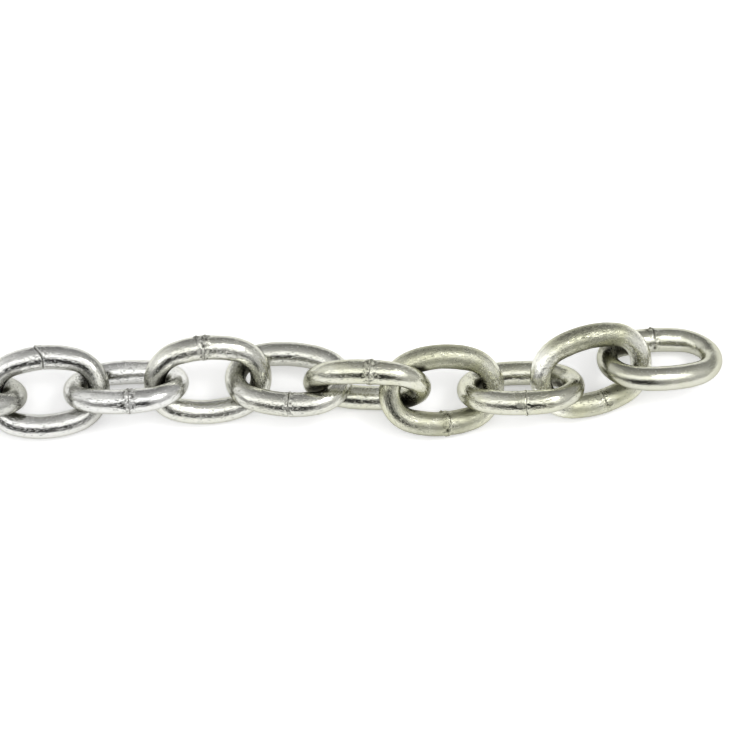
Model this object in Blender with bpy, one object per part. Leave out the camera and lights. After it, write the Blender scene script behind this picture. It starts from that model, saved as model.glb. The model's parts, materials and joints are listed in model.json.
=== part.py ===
"""One metre of zinc-plated, electric-welded short-link steel chain, lying along X on a level floor.

Each link is one closed ring of round wire. The links are threaded through each other and keep a small
running gap. The free end that a hook or shackle would take is link_01, at +X. The origin is at the middle
of the chain's footprint, on the floor.
"""

import math

import bpy
import numpy as np
from mathutils import Matrix, Vector

WIRE = 0.0080            # diameter of the wire along a link's sides
CROWN = 0.0070           # the same wire at the ends, where bending and proof loading pinched it
LINK_LENGTH = 0.0420     # over the outside of the crowns
LINK_WIDTH = 0.0306      # over the outside of the sides, at their middle
END_RADIUS = 0.0103      # of the wire's centre line round the ends
LINK_COUNT = 37

RUNNING_GAP = 0.0004     # least distance between the wires of two links
SECTION_SIDES = 8        # of the wire's section, with a flat on top, below and on each side
SIDE_STEPS = 5           # straight runs along each bowed side; odd, so that one lies across its middle
END_STEPS = 9            # straight runs round each end; odd, for a flat seat at the middle of the crown
SAMPLES_PER_STEP = 6     # points for measuring distances between wires
SEAT_SEARCH = 0.006      # how far to each side of a link's expected place its taut seat is looked for
SEAT_HALVINGS = 30

# How the ten links of the free end lie, from the end inwards: turn about the link's length, turn about
# the vertical and nose-up tilt in degrees, then how far it lies to the far side, how far it is propped
# off the floor and how far its middle is from the last link's along X, in millimetres.
FREE_END = (
    (-29, 9, -8, 9.0, 0.5, 0.0),
    (41, 18, -4, 4.2, 0.5, 22.8),
    (-38, -5, 10, -2.0, 0.0, 23.2),
    (40, 8, -10, -3.0, 0.0, 25.8),
    (94, -5, 8, -2.8, 0.0, 24.4),
    (-17, -7, 4, 1.3, 3.7, 25.7),
    (48, 7, -7, 0.4, 0.0, 26.3),
    (-38, -6, 13, -1.8, 0.0, 26.8),
    (30, 6, -1, -2.8, 0.4, 26.4),
    (-44, 2, -10, -4.4, 0.3, 26.7),
)

# The rest of the run lies as a drawn-out chain does: each link on one side bar, leaning half way over,
# left and right in turn, in a slow sway.
LEAN = 45.0              # degrees
SWAY = 0.004             # to each side of the run's line
SWAY_LENGTH = 0.42       # of one full wave
SLACK = 0.0003           # beyond the running gap

ZINC = (0.62, 0.62, 0.60, 1.0)


def end_centre():
    """How far the centre of an end's arc lies from the middle of the link."""
    return (LINK_LENGTH - CROWN) / 2 - END_RADIUS


def side_arc():
    """Radius of a side's gentle bow, and the angle from its middle to where an end's arc takes over."""
    bulge = (LINK_WIDTH - WIRE) / 2 - END_RADIUS
    reach = end_centre()
    back = (reach ** 2 - bulge ** 2) / (2 * bulge)
    return END_RADIUS + bulge + back, math.atan2(reach, back)


def wire_radius(x):
    """The wire thins from its full size on the sides to the pinched crown."""
    share = min(max((abs(x) - end_centre()) / END_RADIUS, 0.0), 1.0)
    return (WIRE - (WIRE - CROWN) * share) / 2


def centre_line(side_steps, end_steps):
    """Points once round a link in its own plane, from one side over the +X end and back."""
    side_radius, half_angle = side_arc()
    back = side_radius - (LINK_WIDTH - WIRE) / 2
    half = []
    for step in range(side_steps):
        angle = -half_angle + 2 * half_angle * step / side_steps
        half.append((side_radius * math.sin(angle), side_radius * math.cos(angle) - back))
    start = math.pi / 2 - half_angle
    for step in range(end_steps):
        angle = start - 2 * start * step / end_steps
        half.append((end_centre() + END_RADIUS * math.cos(angle), END_RADIUS * math.sin(angle)))
    return half + [(-x, -y) for x, y in half]


def zinc_material():
    material = bpy.data.materials.new("zinc_plated_steel")
    material.use_nodes = True
    shader = material.node_tree.nodes["Principled BSDF"]
    shader.inputs["Base Color"].default_value = ZINC
    shader.inputs["Metallic"].default_value = 1.0
    shader.inputs["Roughness"].default_value = 0.28
    material.diffuse_color = ZINC
    return material


def link_mesh(material):
    """A bevelled closed curve gives the ring. Its section has the same area as the round wire."""
    points = centre_line(SIDE_STEPS, END_STEPS)
    curve = bpy.data.curves.new("link_wire", "CURVE")
    curve.dimensions = "3D"
    curve.twist_mode = "Z_UP"
    curve.bevel_resolution = SECTION_SIDES // 2 - 2
    curve.render_resolution_u = 0
    turn = 2 * math.pi / SECTION_SIDES
    curve.bevel_depth = WIRE / 2 * math.sqrt(2 * math.pi / (SECTION_SIDES * math.sin(turn)))
    spline = curve.splines.new("POLY")
    spline.points.add(len(points) - 1)
    spline.use_cyclic_u = True
    for point, (x, y) in zip(spline.points, points):
        point.co = (x, y, 0.0, 1.0)
        point.radius = wire_radius(x) / (WIRE / 2)
        point.tilt = turn / 2
    wire = bpy.data.objects.new("link_wire", curve)
    bpy.context.scene.collection.objects.link(wire)
    depsgraph = bpy.context.evaluated_depsgraph_get()
    mesh = bpy.data.meshes.new_from_object(wire.evaluated_get(depsgraph))
    bpy.data.objects.remove(wire)
    mesh.name = "link"
    mesh.materials.clear()
    mesh.materials.append(material)
    mesh.shade_smooth()
    return mesh


def turned(roll, heading, tilt):
    """Rotation of a link: rolled about its length, tilted nose up, then headed round the vertical."""
    return (
        Matrix.Rotation(math.radians(heading), 3, "Z")
        @ Matrix.Rotation(math.radians(-tilt), 3, "Y")
        @ Matrix.Rotation(math.radians(roll), 3, "X")
    )


def wire_samples():
    """Close points along a link's centre line with the wire's radius at each, as one array."""
    points = centre_line(SIDE_STEPS * SAMPLES_PER_STEP, END_STEPS * SAMPLES_PER_STEP)
    return np.array([(x, y, 0.0, wire_radius(x)) for x, y in points])


def wire_gap(one, other):
    """Least distance between the surfaces of two wires, each an array of points and radii."""
    apart = np.linalg.norm(one[:, None, :3] - other[None, :, :3], axis=2)
    return float((apart - one[:, None, 3] - other[None, :, 3]).min())


def posed(samples, rotation, place):
    out = samples.copy()
    out[:, :3] = samples[:, :3] @ np.array(rotation).T + np.array(place)
    return out


def lay(index):
    """Turns and offsets of one link: roll, heading, tilt, aside, raised and, at the free end, spacing."""
    if index < len(FREE_END):
        return FREE_END[index]
    run = (index - len(FREE_END)) * (LINK_LENGTH - 2 * CROWN)
    phase = 2 * math.pi * run / SWAY_LENGTH
    last_aside = FREE_END[-1][3]
    aside = last_aside + 1000 * SWAY * math.sin(phase)
    heading = -math.degrees(math.atan(2 * math.pi * SWAY / SWAY_LENGTH * math.cos(phase)))
    roll = -LEAN if index % 2 else LEAN
    return roll, heading, 0.0, aside, 0.0, None


def seated_x(previous, samples, rotation, y, z, guess):
    """Where along X a link hangs taut on the one before it, with the running gap between the wires."""
    near, far = guess + SEAT_SEARCH, guess - SEAT_SEARCH
    for _ in range(SEAT_HALVINGS):
        middle = (near + far) / 2
        if wire_gap(previous, posed(samples, rotation, (middle, y, z))) >= RUNNING_GAP:
            near = middle
        else:
            far = middle
    return near


def link_places(corners):
    """Rotation and place of every link, from the free end inwards. Corners are the link's own vertices."""
    samples = wire_samples()
    pitch = LINK_LENGTH - 2 * CROWN
    places = []
    previous, x = None, 0.0
    for index in range(LINK_COUNT):
        roll, heading, tilt, aside, raised, spacing = lay(index)
        rotation = turned(roll, heading, tilt)
        lowest = (corners @ np.array(rotation).T)[:, 2].min()
        y, z = aside / 1000, raised / 1000 - lowest
        if spacing is None:
            x = seated_x(previous, samples, rotation, y, z, x - pitch) + SLACK
        else:
            x -= spacing / 1000
        place = (x, y, z)
        places.append((rotation, Vector(place)))
        previous = posed(samples, rotation, place)
    return places


def main():
    for old in list(bpy.data.objects):
        bpy.data.objects.remove(old)
    chain = bpy.data.collections.new("steel_chain")
    bpy.context.scene.collection.children.link(chain)
    middle = bpy.data.objects.new("chain_middle", None)
    chain.objects.link(middle)
    mesh = link_mesh(zinc_material())
    corners = np.array([vertex.co for vertex in mesh.vertices])
    reach = []
    for index, (rotation, place) in enumerate(link_places(corners)):
        link = bpy.data.objects.new(f"link_{index + 1:02d}", mesh)
        link.matrix_local = Matrix.Translation(place) @ rotation.to_4x4()
        link.parent = middle
        chain.objects.link(link)
        reach.append(corners @ np.array(rotation).T + np.array(place))
    points = np.concatenate(reach)
    low, high = points.min(axis=0), points.max(axis=0)
    middle.location = (-(low[0] + high[0]) / 2, -(low[1] + high[1]) / 2, -low[2])


main()
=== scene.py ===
"""Looks of one metre of short-link chain: bright zinc-plated links on a pale studio floor.

Each CAD link is replaced by a finer mesh of the same bent wire, with its butt weld and the wire's slight
unevenness. Tint, stains, pits and gloss come from node materials whose patterns follow the wire, and the
colour also holds painted shade on the undersides and in the crooks, and painted shade and highlights on some
parts of links. The ten links that the photograph shows are described one by one in SHOWN, and the others are
of the same make.
"""

import json
import math
from typing import NamedTuple

import bpy
import numpy as np
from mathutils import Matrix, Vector


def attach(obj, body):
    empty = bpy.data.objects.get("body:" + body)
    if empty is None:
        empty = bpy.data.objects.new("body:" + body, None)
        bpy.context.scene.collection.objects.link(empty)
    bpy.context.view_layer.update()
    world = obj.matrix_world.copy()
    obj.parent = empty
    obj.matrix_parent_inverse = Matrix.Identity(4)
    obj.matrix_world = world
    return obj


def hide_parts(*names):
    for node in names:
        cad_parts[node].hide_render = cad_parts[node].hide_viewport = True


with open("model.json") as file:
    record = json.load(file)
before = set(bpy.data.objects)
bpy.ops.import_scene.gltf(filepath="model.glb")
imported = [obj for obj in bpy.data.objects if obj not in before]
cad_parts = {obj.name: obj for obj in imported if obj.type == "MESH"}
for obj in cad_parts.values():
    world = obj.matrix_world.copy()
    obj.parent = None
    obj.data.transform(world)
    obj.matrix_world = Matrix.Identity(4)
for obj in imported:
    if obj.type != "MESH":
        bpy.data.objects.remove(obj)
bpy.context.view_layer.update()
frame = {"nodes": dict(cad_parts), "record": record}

MM = 0.001

# The photograph's view.
ELEVATION = math.radians(64.0)
DISTANCE = 900.0 * MM
VIEW_WIDTH = 249.3 * MM        # of the floor's width at the point that the camera aims at
AIM_FROM_END_LINK = Vector((-93.6, -0.63)) * MM
SENSOR_WIDTH = 36.0            # in mm

TO_CAMERA = np.array((0.0, -math.cos(ELEVATION), math.sin(ELEVATION)))
UP_IN_VIEW = np.array((0.0, math.sin(ELEVATION), math.cos(ELEVATION)))

# The link, as the solids have it.
WIRE = 8.0 * MM
CROWN = 7.0 * MM
LENGTH = 42.0 * MM
WIDTH = 30.6 * MM
END_RADIUS = 10.3 * MM

# The mesh: its ring spacing at the weld and elsewhere in mm, and its points round the wire.
SHOWN_DETAIL = (0.11, 0.62, 84)
HIDDEN_DETAIL = (0.17, 1.0, 40)
FINE_REACH = 4.2 * MM          # to each side of the weld
LINE_STEPS = 400               # of the centre line, over a quarter of a link

# The weld.
SCAR_REACH = 2.1 * MM          # how far the welding dies marked the wire, to each side
BEAD_REACH = 0.9 * MM          # and how far the upset metal swells
STEP_REACH = 3.0 * MM          # along which a step between the two ends of the wire fades out
BEATEN = 0.075 * MM            # height of the die marks
CHIPPED = 0.012 * MM           # unevenness of a facet
FACET_RIM = 0.02 * MM          # depth below which a facet's edge holds dirt
FACET_FACING = 0.5             # cosine of the turn beyond which a facet can't reach

# How far from the neighbour's wire the darkening in a crook, dirt and painted shade, begins to fade, and
# ends.
NOOK_REACH = (0.2 * MM, 3.9 * MM)
NOOK_SAMPLE = 6                # every sixth point of the neighbour's centre line is measured to
BLOCK = 4000                   # points measured at a time, to spare memory


def link_frame(node):
    """Centre of a link and its three directions: along it towards the free end, across it towards the
    far side, and out of its plane."""
    mesh = frame["nodes"][node].data
    points = np.empty(len(mesh.vertices) * 3)
    mesh.vertices.foreach_get("co", points)
    points = points.reshape(-1, 3)
    centre = points.mean(axis=0)
    _, _, axes = np.linalg.svd(points - centre, full_matrices=False)
    along, across = axes[0], axes[1]
    if along[0] < 0:
        along = -along
    if across @ UP_IN_VIEW < 0:
        across = -across
    return centre, along, across, np.cross(along, across)


def end_centre():
    """How far the centre of an end's arc lies from the middle of the link."""
    return (LENGTH - CROWN) / 2 - END_RADIUS


def side_arc():
    """Radius of a side's gentle bow, and the angle from its middle to where an end's arc takes over."""
    bulge = (WIDTH - WIRE) / 2 - END_RADIUS
    reach = end_centre()
    back = (reach ** 2 - bulge ** 2) / (2 * bulge)
    return END_RADIUS + bulge + back, math.atan2(reach, back)


def centre_line(count):
    """Dense points of the wire's centre line, from the middle of the +across side over the far end."""
    side_radius, half_angle = side_arc()
    back = side_radius - (WIDTH - WIRE) / 2
    start = math.pi / 2 - half_angle
    side = np.linspace(0, half_angle, count)
    end = np.linspace(start, -start, 2 * count)[1:]
    rest = np.linspace(-half_angle, 0, count)[1:]
    x = np.concatenate((
        side_radius * np.sin(side),
        end_centre() + END_RADIUS * np.cos(end),
        side_radius * np.sin(-rest),
    ))
    y = np.concatenate((
        side_radius * np.cos(side) - back,
        END_RADIUS * np.sin(end),
        back - side_radius * np.cos(rest),
    ))
    half = np.stack((x, y), axis=1)
    return np.concatenate((half, -half[1:]))


LINE = centre_line(LINE_STEPS)
RUN = np.concatenate(([0.0], np.cumsum(np.linalg.norm(np.diff(LINE, axis=0), axis=1))))
GIRTH = RUN[-1]


def smooth(low, high, value):
    share = np.clip((value - low) / (high - low), 0.0, 1.0)
    return share * share * (3 - 2 * share)


def waves(rng, count, shortest, longest):
    """A seeded sum of waves over the run and the turn round the wire."""
    runs = np.maximum(1, np.round(GIRTH / rng.uniform(shortest, longest, count)))
    turns = rng.integers(0, 4, count)
    return runs, turns, rng.uniform(0, 2 * math.pi, count), rng.uniform(0.5, 1.0, count)


def wave_field(parts, run, turn):
    total = 0.0
    for runs, turns, phase, size in zip(*parts):
        total = total + size * np.cos(2 * math.pi * runs * run / GIRTH + turns * turn + phase)
    return total / math.sqrt(len(parts[0]))


def jagged(rng, angle, size, turns):
    """An uneven line round the wire, as offsets along it."""
    total = 0.0
    for count in turns:
        total = total + np.cos(count * angle + rng.uniform(0, 2 * math.pi)) / count ** 0.7
    return size * total


def crumple(rng, gap, angle, count, shortest, longest):
    """A seeded sum of waves that run in every direction over the wire's surface, about 1 in size."""
    total = 0.0
    for length, way in zip(rng.uniform(shortest, longest, count), rng.uniform(0, math.pi, count)):
        rise = 2 * math.pi / length
        around = round(rise * math.sin(way) * WIRE / 2)
        phase = rng.uniform(0, 2 * math.pi)
        total = total + np.cos(rise * math.cos(way) * gap + around * angle + phase)
    return total * math.sqrt(2 / count)


# How matt, how tarnished and how dark in its crooks a link is, on its far bar, right end, near bar and
# left end. The tarnish share also paints shade on some parts, and below 0 it paints a highlight: the plating
# is paler. The darkening in the crooks is partly dirt and partly painted shade.
BRIGHT = ((0.05, 0.0, 1.0),) * 4


class Weld(NamedTuple):
    """What is a link's own: its butt weld and its finish, whose tarnish also holds painted shade and
    highlights.
    Lengths are in mm and turns in degrees, round the wire from where it faces the camera, positive downwards
    in the photograph."""

    seed: int
    side: int                  # 1 on the far bar, -1 on the near bar
    shift: float               # of the weld from the bar's middle, towards the free end
    groove: float = 0.25       # depth of the seam
    gape: float = 0.17         # its half width
    bead: float = 0.06         # height of the upset metal
    slant: float = 0.0         # how far the seam runs off along the wire
    open: float = 0.62         # share of the seam that gapes
    least_open: float = 0.15
    scar: float = 0.5          # how much the dies marked the wire
    step: tuple = (0, 0.0)     # turn and height of a step between the two ends of the wire
    facets: tuple = ()         # turn, place, reach and depth of each
    nubs: tuple = ()           # turn, place, reach and height of each: flash, or a hollow if negative
    # finish per part: mattness, tarnish with painted shade (a painted highlight below 0), and crook
    # darkening from dirt and painted shade
    finish: tuple = BRIGHT


def cut_facet(facet, radius, chipped, gap, seen):
    """How deep a facet cuts into the wire at each point; negative where it doesn't."""
    turn, place, reach, depth = facet
    along = (gap - place * MM) / (reach * MM)
    level = WIRE / 2 - depth * MM * (1 - np.abs(along) ** 3) + chipped
    facing = np.cos(seen - math.radians(turn))
    inside = (facing > FACET_FACING) & (np.abs(along) < 1.15)
    return np.where(inside, radius - level / np.maximum(facing, FACET_FACING), -1.0)


def weld_shape(weld, rng, radius, angle, gap, seen):
    """The butt weld on a wire: its radius with the weld, and how scarred, grimy and dull it is, as shares.

    gap is the distance along the wire from the weld, positive towards the free end. seen is the turn
    round the wire from where it faces the camera, positive downwards in the photograph.
    """
    path = -weld.slant * MM * np.clip((0.1 - np.sin(seen)) / 1.1, 0, 1) ** 1.5
    path = path + jagged(rng, angle, 0.10 * MM, (1, 2, 3, 5, 8))
    off = gap - path
    open_share = np.clip(weld.open + jagged(rng, angle, 0.42, (1, 2, 4, 7)), weld.least_open, 1)
    seam = np.exp(-(off / (weld.gape * MM)) ** 2) * open_share
    # The upset metal beside the seam: a low swelling, beaten uneven by the welding dies.
    beaten = crumple(rng, gap, angle, 30, 0.9 * MM, 2.6 * MM)
    scar = weld.scar * np.exp(-(off / SCAR_REACH) ** 4)
    swelling = np.exp(-(off / BEAD_REACH) ** 4)
    swelling = swelling * (1 + 0.35 * crumple(rng, gap, angle, 12, 1.5 * MM, 4 * MM))
    radius = radius + weld.bead * MM * swelling + BEATEN * scar * beaten
    radius = radius - weld.groove * MM * seam

    step_turn, step = weld.step
    step_side = np.clip(np.cos(seen - math.radians(step_turn)), 0, 1)
    radius = radius + step * MM * np.exp(-np.abs(off) / STEP_REACH) * (off > 0) * step_side
    grime = np.maximum(seam, 0.8 * smooth(0.5, 1.3, -beaten) * scar)
    dull = 0.3 * scar
    chipped = CHIPPED * crumple(rng, gap, angle, 12, 0.9 * MM, 2.2 * MM)
    for facet in weld.facets:
        cut = cut_facet(facet, radius, chipped, gap, seen)
        grime = np.maximum(grime * (cut < 0), 0.7 * np.exp(-(cut / FACET_RIM) ** 2))
        dull = np.maximum(dull, 1.5 * (cut > 0))
        radius = radius - np.maximum(cut, 0.0)
    for turn, place, reach, height in weld.nubs:
        aside = np.angle(np.exp(1j * (seen - math.radians(turn)))) * WIRE / 2
        away = ((gap - place * MM) ** 2 + aside ** 2) / (reach * MM) ** 2
        radius = radius + height * MM * np.exp(-away)
        dirt = 0.6 * np.exp(-(away - 1.1) ** 2 / 0.12) if height > 0 else np.exp(-away)
        grime = np.maximum(grime, dirt)
    return radius, scar, grime, dull


def nook_share(points, number):
    """How deep in the crook between two links each point is: 1 against the neighbour's wire, 0 clear."""
    share = np.zeros(len(points))
    for other in (number - 1, number + 1):
        node = f"link_{other:02d}"
        if node not in frame["nodes"]:
            continue
        centre, along, across, _ = link_frame(node)
        line = centre + LINE[::NOOK_SAMPLE, :1] * along + LINE[::NOOK_SAMPLE, 1:] * across
        apart = np.empty(len(points))
        for begin in range(0, len(points), BLOCK):
            block = points[begin:begin + BLOCK]
            apart[begin:begin + BLOCK] = np.linalg.norm(block[:, None] - line[None], axis=2).min(axis=1)
        share = np.maximum(share, 1 - smooth(*NOOK_REACH, apart - WIRE / 2))
    return share


def ring_places(fine, coarse):
    """Where the rings of the mesh stand along the wire, measured from the weld: close by it, then wider."""
    near = np.arange(0.0, FINE_REACH, fine)
    far_count = int((GIRTH - 2 * FINE_REACH) / coarse)
    far = np.linspace(FINE_REACH, GIRTH - FINE_REACH, far_count)
    return np.concatenate((near, far, GIRTH - near[::-1][:-1]))


def ring_frames(rings, side, shift):
    """Centre of each ring in the link's plane, and the way outward there."""
    # Run 0 of the centre line is the middle of the +across side, where the run goes along +x. The other
    # side's middle is half the girth on, and the run there goes along -x.
    if side > 0:
        places = (rings + shift) % GIRTH
    else:
        places = (rings + GIRTH / 2 - shift) % GIRTH
    x = np.interp(places, RUN, LINE[:, 0])
    y = np.interp(places, RUN, LINE[:, 1])
    ahead = (places + 0.02 * MM) % GIRTH
    step_x = np.interp(ahead, RUN, LINE[:, 0]) - x
    step_y = np.interp(ahead, RUN, LINE[:, 1]) - y
    size = np.hypot(step_x, step_y)
    outward = np.stack((-step_y / size, step_x / size), axis=1)
    outward *= np.sign(outward[:, 0] * x + outward[:, 1] * y)[:, None]
    return x, y, outward


def tube_faces(points, core, count, turns):
    """Quads of a closed tube of rings, facing out. core is the middle of the wire at each ring."""
    a = np.arange(count)[:, None] * turns + np.arange(turns)[None]
    b = np.roll(a, -1, axis=0)
    faces = np.stack((a, np.roll(a, -1, axis=1), np.roll(b, -1, axis=1), b), axis=-1).reshape(-1, 4)
    first = points[faces[:, 0]]
    normal = np.cross(points[faces[:, 1]] - first, points[faces[:, 3]] - first)
    if np.einsum("ij,ij->i", normal, first - core[faces[:, 0] // turns]).mean() < 0:
        faces = faces[:, ::-1]
    return faces


def finish_shares(finish, x, y, like):
    """A link's mattness, tarnish (with painted shade and highlights) and crook darkening (dirt and painted
    shade) at each point, blended from its four parts' own.
    """
    round_link = np.arctan2(y / (WIDTH / 2), x / (LENGTH / 2))[:, None] + 0 * like
    ways = (np.sin(round_link), np.cos(round_link), -np.sin(round_link), -np.cos(round_link))
    parts = np.maximum(0, ways) ** 4
    parts = parts / parts.sum(axis=0)
    return np.tensordot(np.array(finish), parts, axes=(0, 0))


def make_link(number, weld, material, detail):
    """One link: the bent wire, worn by its neighbours, with its butt weld."""
    node = f"link_{number:02d}"
    centre, along, across, out = link_frame(node)
    rng = np.random.default_rng(weld.seed)
    fine, coarse, turns = detail
    rings = ring_places(fine * MM, coarse * MM)
    x, y, outward = ring_frames(rings, weld.side, weld.shift * MM)
    run, angle = np.meshgrid(rings, np.linspace(0, 2 * math.pi, turns, endpoint=False), indexing="ij")

    share = np.clip((np.abs(x) - end_centre()) / END_RADIUS, 0, 1)[:, None]
    radius = (WIRE - (WIRE - CROWN) * share) / 2 + 0 * angle
    # Slow unevenness of the bent wire, and the dents that the links beat into each other.
    radius += 0.030 * MM * wave_field(waves(rng, 14, 6 * MM, 22 * MM), run, angle)
    radius += 0.008 * MM * wave_field(waves(rng, 24, 1.8 * MM, 4.5 * MM), run, angle)
    gap = np.where(run > GIRTH / 2, run - GIRTH, run) * weld.side
    facing_out, facing_side = TO_CAMERA @ out, TO_CAMERA @ across * weld.side
    seen = (angle - math.atan2(facing_out, facing_side)) * weld.side
    radius, scar, grime, dull = weld_shape(weld, rng, radius, angle, gap, seen)

    flat_x = x[:, None] + radius * np.cos(angle) * outward[:, :1]
    flat_y = y[:, None] + radius * np.cos(angle) * outward[:, 1:]
    flat_z = radius * np.sin(angle)
    points = centre + flat_x[..., None] * along + flat_y[..., None] * across + flat_z[..., None] * out
    points = points.reshape(-1, 3)
    core = centre + x[:, None] * along + y[:, None] * across

    name = f"{node}_wire"
    mesh = bpy.data.meshes.new(name)
    mesh.from_pydata(points.tolist(), [], tube_faces(points, core, len(rings), turns).tolist())
    # The material's pattern follows the wire: distance along it, and a point on a straight wire's section.
    straight = np.stack((run, WIRE / 2 * np.cos(angle), WIRE / 2 * np.sin(angle)), axis=-1).reshape(-1, 3)
    straight = straight / MM + np.array((weld.seed * 137.0, 0.0, 0.0))
    follow = mesh.attributes.new("wire", "FLOAT_VECTOR", "POINT")
    follow.data.foreach_set("vector", straight.astype(np.float32).ravel())

    upward = np.cos(angle) * (outward[:, :1] * along[2] + outward[:, 1:] * across[2])
    upward = upward + np.sin(angle) * out[2]
    # The tarnish share also holds painted shade, and below 0 a painted highlight; the crook share holds dirt
    # and painted shade.
    satin, tarnish_and_painted_light, crook_dirt_and_shade_level = finish_shares(weld.finish, x, y, angle)
    shares = {
        "satin": satin * (1 - scar),
        "tarnish_and_painted_light": tarnish_and_painted_light * (1 - 0.6 * scar),
        "scar": scar,
        "grime": grime,
        "dull": dull,
        # Darkening in the crooks between links: partly dirt, partly painted shade, so weaker where the wire
        # faces up.
        "nook": nook_share(points, number) * ((1 - 0.7 * smooth(0.2, 0.9, upward)) * crook_dirt_and_shade_level).ravel(),
        # Painted shade on the undersides: how far each point faces down.
        "facing_down_for_shade": smooth(-0.25, 0.45, -upward),
    }
    for label, values in shares.items():
        attribute = mesh.attributes.new(label, "FLOAT", "POINT")
        attribute.data.foreach_set("value", values.astype(np.float32).ravel())
    mesh.materials.append(material)
    mesh.shade_smooth()
    piece = bpy.data.objects.new(name, mesh)
    bpy.context.scene.collection.objects.link(piece)
    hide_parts(node)
    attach(piece, body_holding(node))


def body_holding(node):
    bodies = frame["record"]["behaviour"]["bodies"]
    return next(body for body, nodes in bodies.items() if node in nodes)


class Nodes:
    """Small helper round one node tree."""

    def __init__(self, tree):
        self.tree = tree

    def add(self, kind, inputs=None, **settings):
        node = self.tree.nodes.new(kind)
        for key, value in settings.items():
            setattr(node, key, value)
        for key, value in (inputs or {}).items():
            socket = node.inputs[key]
            if isinstance(value, bpy.types.NodeSocket):
                self.tree.links.new(value, socket)
            else:
                socket.default_value = value
        return node

    def attribute(self, name, output="Fac"):
        return self.add("ShaderNodeAttribute", attribute_name=name).outputs[output]

    def math(self, operation, a, b=0.0, clamp=False):
        return self.add("ShaderNodeMath", {0: a, 1: b}, operation=operation, use_clamp=clamp).outputs[0]

    def times(self, a, b):
        return self.math("MULTIPLY", a, b)

    def plus(self, a, b, clamp=False):
        return self.math("ADD", a, b, clamp)

    def most(self, first, *others):
        """The largest of several values."""
        for other in others:
            first = self.math("MAXIMUM", first, other)
        return first

    def map_range(self, value, low, high, to_low=0.0, to_high=1.0):
        inputs = {0: value, 1: low, 2: high, 3: to_low, 4: to_high}
        return self.add("ShaderNodeMapRange", inputs).outputs[0]

    def noise(self, vector, scale, detail=3.0, rough=0.5):
        inputs = {"Vector": vector, "Scale": scale, "Detail": detail, "Roughness": rough}
        return self.add("ShaderNodeTexNoise", inputs).outputs["Fac"]

    def wander(self, vector, scale, rough, size):
        """Noise about zero, of the given size."""
        return self.times(self.math("SUBTRACT", self.noise(vector, scale, 4.0, rough), 0.5), size)

    def stretched(self, vector, factors):
        return self.add("ShaderNodeVectorMath", {0: vector, 1: factors}, operation="MULTIPLY").outputs[0]

    def mix(self, share, one, other):
        return self.add("ShaderNodeMix", {0: share, 6: one, 7: other}, data_type="RGBA").outputs[2]

    def bump(self, height, distance, normal=None, strength=1.0):
        inputs = {"Strength": strength, "Distance": distance * MM, "Height": height}
        if normal is not None:
            inputs["Normal"] = normal
        return self.add("ShaderNodeBump", inputs).outputs[0]


# Tarnish colour, which also serves as painted shade.
TARNISH_AND_SHADE = (0.10, 0.10, 0.05, 1)
# Pale colour of a painted highlight.
PAINTED_HIGHLIGHT_PALE = (0.97, 0.97, 0.91, 1)
# Dark colour of dirt, and of the painted shade on the undersides and in the crooks.
DIRT_AND_SHADE = (0.030, 0.028, 0.017, 1)
EDGE_TINT = (0.7, 0.7, 0.65, 1)          # of the plating's glancing reflections
DRAWN = (0.4, 1.0, 1.0)                  # patterns are longer along the wire, the way that it was drawn


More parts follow.
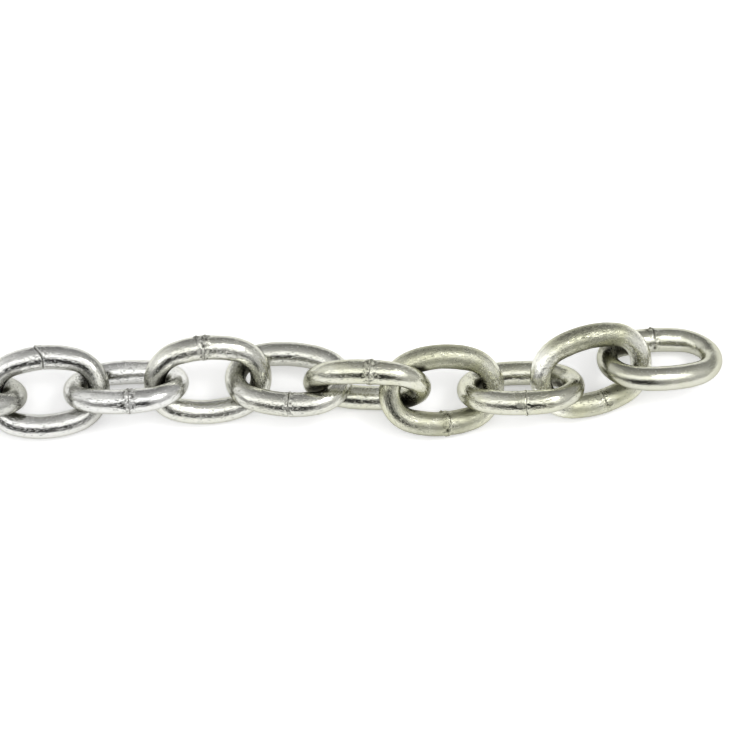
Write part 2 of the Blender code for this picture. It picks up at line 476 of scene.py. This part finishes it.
def zinc(name, clear, warm, polish, pitting, relief=1.0):
    """Zinc plating on drawn wire. Clear and warm are its two tints, polish is its base roughness,
    pitting how deep its sparse pits are, in mm, and relief how uneven the rest of it is."""
    material = bpy.data.materials.new(name)
    material.use_nodes = True
    tree = material.node_tree
    shader = tree.nodes["Principled BSDF"]
    n = Nodes(tree)
    wire = n.attribute("wire", "Vector")
    drawn = n.stretched(wire, DRAWN)
    scar = n.attribute("scar")
    tarnish_and_painted_light = n.attribute("tarnish_and_painted_light")

    # The plating's colour, with its tarnish, which also paints shade, and a painted highlight where the
    # tarnish share is below 0.
    cloudy = n.noise(wire, 0.16, 3.0, 0.6)
    plate = n.mix(n.map_range(cloudy, 0.35, 0.65), (*clear, 1), (*warm, 1))
    plate = n.mix(tarnish_and_painted_light, plate, TARNISH_AND_SHADE)
    # A painted highlight where the tarnish share is below 0: the plating turns pale.
    plate = n.mix(n.map_range(tarnish_and_painted_light, 0.0, -1.0), plate, PAINTED_HIGHLIGHT_PALE)

    # Matt specks, pits, and the darkening in the crooks, which is dirt and painted shade.
    satin = n.plus(n.attribute("satin"), n.wander(wire, 0.16, 0.6, 1.2 * relief), clamp=True)
    matt_specks = n.map_range(n.plus(n.noise(drawn, 2.2, 3.0, 0.65), n.times(satin, 0.40)), 0.62, 0.76)
    pits = n.map_range(n.noise(drawn, 1.9, 3.0, 0.6), 0.58, 0.71)
    crook = n.map_range(n.plus(n.attribute("nook"), n.wander(wire, 0.7, 0.65, 0.9)), 0.32, 0.82)

    # What darkens it: dirt, pits and weld marks, painted shade on the undersides, and dirt with painted
    # shade in the crooks.
    soil = n.times(n.map_range(n.noise(drawn, 1.3, 5.0, 0.7), 0.56, 0.78), 0.35 * relief)
    # Dirt and painted shade in the crooks between links.
    crook_dirt_and_shade = n.times(crook, 0.95)
    edges = n.times(n.attribute("grime"), 0.95)
    flecks = n.times(n.map_range(n.noise(wire, 1.2, 4.0, 0.7), 0.54, 0.66), n.times(scar, 0.75))
    # Painted shade on surfaces that face down, deeper where the tarnish share is high.
    painted_shade_below = n.times(n.attribute("facing_down_for_shade"), n.plus(n.most(tarnish_and_painted_light, 0.0), 0.38))
    holes = n.times(pits, min(1.0, 6 * pitting))
    dark = n.most(soil, crook_dirt_and_shade, edges, painted_shade_below, flecks, holes)
    tree.links.new(n.mix(dark, plate, DIRT_AND_SHADE), shader.inputs["Base Color"])
    shader.inputs["Metallic"].default_value = 1.0
    shader.inputs["Specular Tint"].default_value = EDGE_TINT

    haze = n.map_range(n.noise(drawn, 0.9, 4.0, 0.65), 0.4, 0.7, 0.0, 0.08)
    matt = n.plus(n.times(crook, 0.25), n.times(n.attribute("dull"), 0.13))
    matt = n.plus(matt, n.times(matt_specks, 0.27))
    tree.links.new(n.plus(n.plus(haze, matt), polish), shader.inputs["Roughness"])

    # Relief, from the slowest to the finest, and the torn metal at the weld over it all.
    dents = n.bump(n.noise(wire, 0.5, 2.0, 0.5), 0.08 * relief)
    dimples = n.bump(n.noise(drawn, 1.6, 4.0, 0.6), 0.12 * relief, dents)
    patchy = n.map_range(n.noise(wire, 0.14, 2.0, 0.5), 0.38, 0.62, 0.35, 1.0)
    pitted = n.bump(pits, -pitting, dimples, patchy)
    grit = n.bump(matt_specks, 0.010, pitted)
    grain = n.bump(n.noise(drawn, 6.0, 2.0, 0.6), 0.016, grit)
    torn = n.bump(n.noise(wire, 1.3, 4.0, 0.7), 0.26, grain, scar)
    tree.links.new(torn, shader.inputs["Normal"])
    return material


ZINC_CLEAR = zinc("zinc_clear", (0.70, 0.70, 0.68), (0.66, 0.66, 0.63), 0.09, 0.07, 0.7)
ZINC_PALE = zinc("zinc_pale", (0.66, 0.66, 0.61), (0.63, 0.63, 0.56), 0.10, 0.07, 0.7)
ZINC_WARM = zinc("zinc_warm", (0.63, 0.63, 0.55), (0.59, 0.59, 0.47), 0.10, 0.06, 0.7)
ZINC_OLIVE = zinc("zinc_olive", (0.62, 0.62, 0.51), (0.57, 0.57, 0.42), 0.12, 0.07)
ZINC_SMOOTH = zinc("zinc_smooth", (0.64, 0.64, 0.56), (0.60, 0.60, 0.49), 0.17, 0.01, 0.4)

# The links that the photograph shows, from the free end.
SHOWN = {
    1: (ZINC_SMOOTH, Weld(
        1, 1, 0.7, groove=0.22, gape=0.32, bead=0.12, open=0.4,
        nubs=((-80, -0.3, 0.6, 0.45), (42, 0.0, 0.7, -0.25), (-60, -1.9, 1.0, -0.05)),
        finish=((0.0, 0.10, 1), (0.1, 0.17, 1), (0.0, 0.10, 1), (0.0, 0.35, 1.8)))),
    2: (ZINC_OLIVE, Weld(
        2, -1, 2.2, bead=0.05, open=0.1, least_open=0.0, scar=0.45,
        facets=((-25, -1.8, 1.4, 0.10),),
        nubs=((26, 0.3, 0.55, -0.6),),
        finish=((0.6, 0.46, 1), (0.1, -0.7, 0.2), (0.8, 0.14, 1), (0.1, -0.9, 0.1)))),
    3: (ZINC_WARM, Weld(
        3, -1, 3.5, least_open=0.6, scar=0.25,
        facets=((13, -1.7, 1.2, 0.15),),
        nubs=((12, 0.75, 0.45, -0.15), (-80, -0.3, 0.4, 0.35), (72, 0.0, 0.45, 0.5)),
        finish=((0.1, 0.12, 1), (0.1, 0.15, 1.9), (0.0, 0.04, 1), (0.1, 0.0, 1.5)))),
    4: (ZINC_OLIVE, Weld(
        4, -1, 1.6, bead=0.22, open=0.3, least_open=0.0, scar=0.55,
        nubs=((-80, -1.7, 0.7, 0.6), (-45, 0.1, 0.45, -0.2), (8, -0.9, 1.1, 0.22), (33, -0.5, 0.6, -0.4)),
        finish=((0.7, 0.33, 1), (0.3, -0.4, 0.5), (0.85, 0.30, 1), (0.1, 0.0, 1.5)))),
    5: (ZINC_WARM, Weld(
        5, 1, 2.8, bead=0.10, least_open=0.5, scar=1.0,
        facets=((-29, -1.1, 0.9, 0.12), (-28, 1.4, 0.6, 0.08)),
        nubs=((-86, 0.0, 0.5, 0.40), (15, -1.9, 0.35, -0.3), (84, 0.0, 0.5, 0.4)),
        finish=((0.0, 0.02, 1), (0.2, 0.0, 1), (0.1, 0.0, 1), (0.1, 0.0, 1)))),
    6: (ZINC_PALE, Weld(
        6, -1, 2.0, open=0.5, least_open=0.0, scar=0.65,
        facets=((-27, -0.9, 0.75, 0.12),),
        nubs=((-85, 0.0, 0.4, 0.3), (-6, 0.7, 0.5, -0.15)),
        finish=((0.1, 0.15, 1), (0.2, 0.0, 1), (0.2, 0.10, 1), (0.1, 0.0, 1)))),
    7: (ZINC_PALE, Weld(
        7, 1, -1.3, bead=0.14, open=0.5, least_open=0.0, scar=1.0,
        facets=((19, -1.6, 1.1, 0.08),),
        nubs=((-75, -2.0, 0.8, 0.55), (-70, 1.0, 0.9, 0.45), (-8, -0.3, 0.5, -0.35), (-35, 1.3, 0.6, 0.2)),
        finish=((0.1, 0.05, 1), (0.2, 0.0, 0.7), (0.1, 0.0, 1), (0.1, 0.0, 1)))),
    8: (ZINC_CLEAR, Weld(
        8, -1, 5.1, bead=0.08, open=0.5, least_open=0.1, scar=0.9,
        facets=((18, 0.9, 1.2, 0.14),),
        nubs=((-84, -0.6, 0.7, 0.35), (17, -1.7, 0.8, -0.25), (-45, -0.8, 0.9, 0.12),
              (-20, 1.4, 0.6, -0.10)))),
    9: (ZINC_CLEAR, Weld(
        9, 1, 0.0, groove=0.45, gape=0.22, bead=0.04, slant=2.3, least_open=0.7, scar=0.2, step=(-60, 0.6),
        finish=((0.05, 0.03, 1), (0.3, 0.45, 1), (0.05, 0.0, 1), (0.1, 0.0, 1)))),
    10: (ZINC_CLEAR, Weld(
        10, -1, 0.0,
        finish=((0.05, 0.0, 1), (0.3, 0.40, 1.7), (0.1, 0.15, 1), (0.1, 0.0, 1)))),
}
HIDDEN = (ZINC_CLEAR, ZINC_CLEAR, ZINC_PALE)     # plating of the other links, in turn


def plain_weld(number):
    """The weld of a link beyond the photograph's edge, of the same make."""
    rng = np.random.default_rng(1000 + number)
    facets = []
    for place in (-1, 1):
        if rng.uniform() < 0.7:
            turn, shift = rng.uniform(-40, 40), place * rng.uniform(1.3, 2.0)
            facets.append((turn, shift, rng.uniform(0.9, 1.4), rng.uniform(0.08, 0.18)))
    nubs = ((rng.uniform(-180, 180), 0.1, 0.5, rng.uniform(0.2, 0.4)),)
    groove, bead, scar = rng.uniform(0.15, 0.25), rng.uniform(0.03, 0.15), rng.uniform(0.2, 1.0)
    finish = ((rng.uniform(0.05, 0.3), rng.uniform(0, 0.12), 1.0),) * 4
    side = 1 if number % 2 else -1
    return Weld(number, side, rng.uniform(-1.5, 1.5), groove, bead=bead, scar=scar, facets=tuple(facets),
                nubs=nubs, finish=finish)


for number in sorted(int(node.split("_")[1]) for node in frame["nodes"]):
    if number in SHOWN:
        make_link(number, SHOWN[number][1], SHOWN[number][0], SHOWN_DETAIL)
    else:
        make_link(number, plain_weld(number), HIDDEN[number % len(HIDDEN)], HIDDEN_DETAIL)

# The studio. Lengths are in metres. A softbox is its width, depth, power and place, and looks at the
# middle of the chain.
FLOOR_REACH = 30.0
FLOOR_GLOW = 0.37                        # lights the eyes of the links, as the photograph's bright room does
SOFTBOXES = {
    "overhead_softbox": (3.4, 0.85, 10.3, (0.0, -0.50, 1.25)),
    "right_softbox": (0.4, 0.4, 4.0, (1.05, -0.05, 1.35)),
}

# Grey levels of the room that the plating mirrors, from the far horizon over the top to the near
# horizon, straight on and to each side. Each stop is a place from 0 to 1 and its level.
ROOM_AHEAD = (
    (0.0, 0.24), (0.11, 0.28), (0.22, 0.36), (0.33, 0.49), (0.42, 0.60), (0.5, 0.70), (0.68, 0.60),
    (0.72, 0.12), (0.77, 0.05), (0.93, 0.04), (1.0, 0.12),
)
ROOM_LEFT = (
    (0.0, 0.50), (0.11, 0.80), (0.2, 1.1), (0.45, 1.1), (0.6, 0.8), (0.72, 0.5), (0.85, 0.3), (1.0, 0.35),
)
ROOM_RIGHT = (
    (0.0, 0.38), (0.2, 0.47), (0.35, 0.65), (0.5, 0.85), (0.65, 0.8), (0.8, 0.68), (0.9, 0.62), (1.0, 0.65),
)


def add_floor():
    reach = FLOOR_REACH
    corners = [(-reach, -reach, 0.0), (reach, -reach, 0.0), (reach, reach, 0.0), (-reach, reach, 0.0)]
    mesh = bpy.data.meshes.new("studio_floor")
    mesh.from_pydata(corners, [], [(0, 1, 2, 3)])
    floor = bpy.data.objects.new("studio_floor", mesh)
    bpy.context.scene.collection.objects.link(floor)
    white = bpy.data.materials.new("studio_floor_white")
    white.use_nodes = True
    shader = white.node_tree.nodes["Principled BSDF"]
    shader.inputs["Base Color"].default_value = (0.98, 0.98, 0.98, 1)
    shader.inputs["Roughness"].default_value = 1.0
    shader.inputs["Specular IOR Level"].default_value = 0.0
    shader.inputs["Emission Color"].default_value = (1, 1, 1, 1)
    shader.inputs["Emission Strength"].default_value = FLOOR_GLOW
    mesh.materials.append(white)


def add_softbox(name, width, depth, power, place):
    light = bpy.data.lights.new(name, "AREA")
    light.shape = "RECTANGLE"
    light.size, light.size_y = width, depth
    light.energy = power
    lamp = bpy.data.objects.new(name, light)
    bpy.context.scene.collection.objects.link(lamp)
    lamp.location = place
    lamp.rotation_mode = "QUATERNION"
    lamp.rotation_quaternion = (-Vector(place)).to_track_quat("-Z", "Y")


def room_levels(n, place, stops):
    """Grey levels of the room along one sweep."""
    ramp = n.add("ShaderNodeValToRGB", {0: place})
    elements = ramp.color_ramp.elements
    elements[0].position, elements[1].position = stops[0][0], stops[-1][0]
    for position, _ in stops[1:-1]:
        elements.new(position)
    for element, (_, level) in zip(elements, stops):
        element.color = (level, level, level, 1)
    return ramp.outputs[0]


def add_room():
    world = bpy.data.worlds.new("studio_room")
    bpy.context.scene.world = world
    world.use_nodes = True
    tree = world.node_tree
    n = Nodes(tree)
    way = n.add("ShaderNodeSeparateXYZ", {0: n.add("ShaderNodeTexCoord").outputs["Generated"]})
    lean = n.math("ARCTAN2", n.times(way.outputs[1], -1.0), way.outputs[2])
    place = n.map_range(lean, -math.pi / 2, math.pi / 2)
    ahead, left, right = (room_levels(n, place, stops) for stops in (ROOM_AHEAD, ROOM_LEFT, ROOM_RIGHT))
    blend = n.mix(n.map_range(way.outputs[0], -0.25, -0.70), ahead, left)
    blend = n.mix(n.map_range(way.outputs[0], 0.15, 0.50), blend, right)
    background = tree.nodes["Background"]
    tree.links.new(blend, background.inputs["Color"])
    background.inputs["Strength"].default_value = 1.0


def add_camera():
    centre = link_frame("link_01")[0]
    aim = Vector((centre[0] + AIM_FROM_END_LINK.x, centre[1] + AIM_FROM_END_LINK.y, 0.0))
    back = Vector(TO_CAMERA)
    data = bpy.data.cameras.new("photo_camera")
    data.sensor_width = SENSOR_WIDTH
    data.lens = SENSOR_WIDTH * DISTANCE / VIEW_WIDTH
    data.clip_start, data.clip_end = 0.01, 100.0
    eye = bpy.data.objects.new("photo_camera", data)
    bpy.context.scene.collection.objects.link(eye)
    eye.location = aim + back * DISTANCE
    eye.rotation_mode = "QUATERNION"
    eye.rotation_quaternion = (-back).to_track_quat("-Z", "Y")
    bpy.context.scene.camera = eye


add_floor()
for name, settings in SOFTBOXES.items():
    add_softbox(name, *settings)
add_room()
add_camera()
bpy.context.scene.view_settings.view_transform = "Standard"
